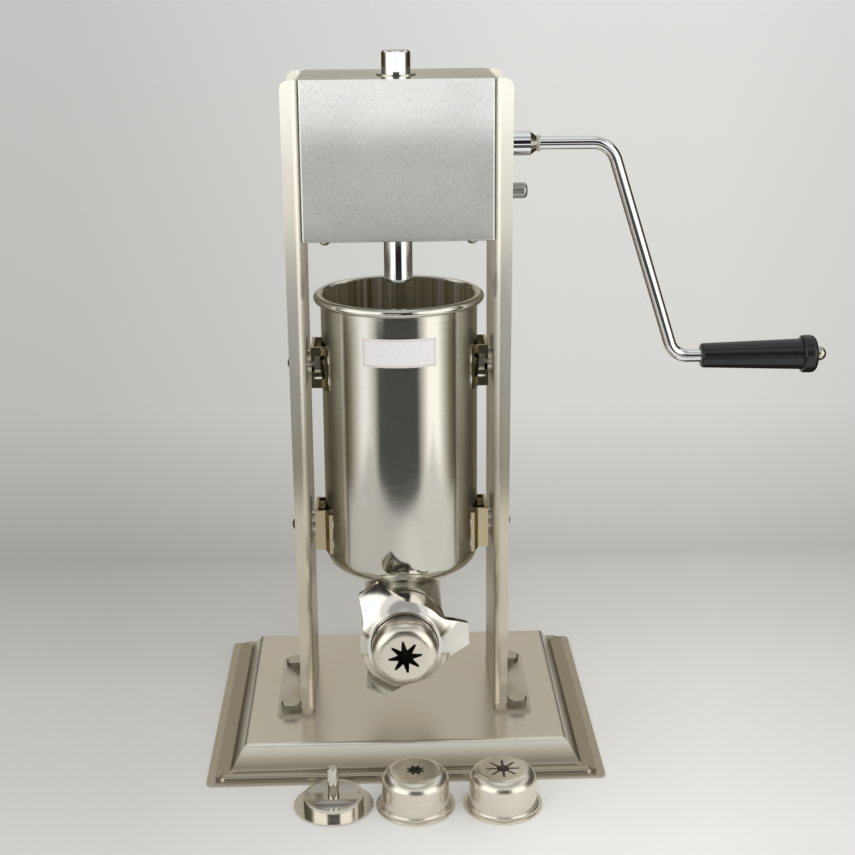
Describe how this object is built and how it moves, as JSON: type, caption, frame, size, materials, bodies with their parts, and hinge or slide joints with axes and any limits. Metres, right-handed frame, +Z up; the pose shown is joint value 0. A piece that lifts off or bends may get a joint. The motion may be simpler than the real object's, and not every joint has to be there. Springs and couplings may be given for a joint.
{
  "type": "churro maker",
  "caption": "Upright hand-cranked churro maker: a rack rod drives a piston down a steel barrel to a star nozzle held by a wing nut.",
  "frame": {"origin": "on the table, in the middle of the base's front rest strip, 5 mm behind its front edge", "axes": "+Z up; +X towards the crank; the nozzle faces -Y; the barrel stands on x = 0, y = 100 mm"},
  "size_m": [0.4473, 0.2817, 0.4887],
  "materials": {
    "base_steel": "satin brushed stainless",
    "upright_steel": "bright satin stainless",
    "housing_steel": "vertically brushed stainless",
    "barrel_steel": "polished stainless",
    "nut_steel": "polished cast stainless",
    "nozzle_steel": "pressed stainless, soft polish",
    "fastener_steel": "stainless fasteners",
    "chrome": "bright chrome",
    "gear_steel": "machined gear steel",
    "bronze": "turned bronze",
    "grip_black": "glossy black",
    "seal_rubber": "pale silicone",
    "piston_nylon": "white nylon"
  },
  "bodies": {
    "root": {"base_plate": "base_steel", "foot_bolts": "fastener_steel", "foot_washers": "fastener_steel", "foot_nuts": "fastener_steel", "right_upright": "upright_steel", "left_upright": "upright_steel", "gear_housing": "housing_steel", "front_cover": "housing_steel", "cover_screws": "fastener_steel", "top_rod_bush": "fastener_steel", "bottom_rod_bush": "bronze", "shaft_bushes": "bronze", "barrel": "barrel_steel", "spout_collar": "nut_steel", "left_upper_bracket": "upright_steel", "left_lower_bracket": "upright_steel", "right_upper_bracket": "upright_steel", "right_lower_bracket": "upright_steel", "barrel_bolts": "fastener_steel", "barrel_spacers": "fastener_steel", "barrel_cap_nuts": "fastener_steel", "small_star_nozzle": "nozzle_steel", "slit_star_nozzle": "nozzle_steel", "tube_insert": "nozzle_steel", "tube_insert_pin": "nozzle_steel"},
    "rod": {"rack_rod": "chrome", "piston_disc": "piston_nylon", "piston_seal": "seal_rubber", "piston_nut": "fastener_steel"},
    "drive": {"main_shaft": "gear_steel", "main_gear": "gear_steel", "rack_pinion": "gear_steel", "main_shaft_pins": "gear_steel", "main_shaft_rings": "gear_steel"},
    "slow_drive": {"slow_shaft": "gear_steel", "slow_gear": "gear_steel", "slow_shaft_pin": "gear_steel", "slow_shaft_rings": "gear_steel"},
    "crank": {"crank_arm": "chrome", "grip_cap_nut": "chrome"},
    "grip": {"crank_grip": "grip_black"},
    "nozzle": {"star_nozzle": "nozzle_steel", "nozzle_seal": "seal_rubber"},
    "nut": {"wing_nut": "nut_steel"}
  },
  "joints": [
    {"name": "crank_turn", "type": "hinge", "parent": "root", "child": "drive", "pos_m": [0, 0.117, 0.4229], "axis": [-1, 0, 0], "range_deg": [0, 1273.2]},
    {"name": "rod_slide", "type": "slide", "parent": "root", "child": "rod", "axis": [0, 0, 1], "range_m": [0, 0.2]},
    {"name": "slow_turn", "type": "hinge", "parent": "root", "child": "slow_drive", "pos_m": [0, 0.117, 0.3899], "axis": [-1, 0, 0], "range_deg": [-3820, 0]},
    {"name": "crank_pull", "type": "slide", "parent": "drive", "child": "crank", "axis": [1, 0, 0], "range_m": [0, 0.025]},
    {"name": "grip_spin", "type": "hinge", "parent": "crank", "child": "grip", "pos_m": [0.26, 0.117, 0.268], "axis": [1, 0, 0], "continuous": true},
    {"name": "nozzle_slide", "type": "slide", "parent": "root", "child": "nozzle", "axis": [0, -1, 0], "range_m": [0, 0.0161]},
    {"name": "nut_turn", "type": "hinge", "parent": "nozzle", "child": "nut", "pos_m": [0, 0.02, 0.097], "axis": [0, -1, 0], "range_deg": [0, 2880]}
  ],
  "couplings": [
    {"joint": "rod_slide", "follows": "crank_turn", "m_per_rad": 0.009},
    {"joint": "slow_turn", "follows": "crank_turn", "ratio": -3},
    {"joint": "nozzle_slide", "follows": "nut_turn", "m_per_rad": 0.00031831}
  ]
}
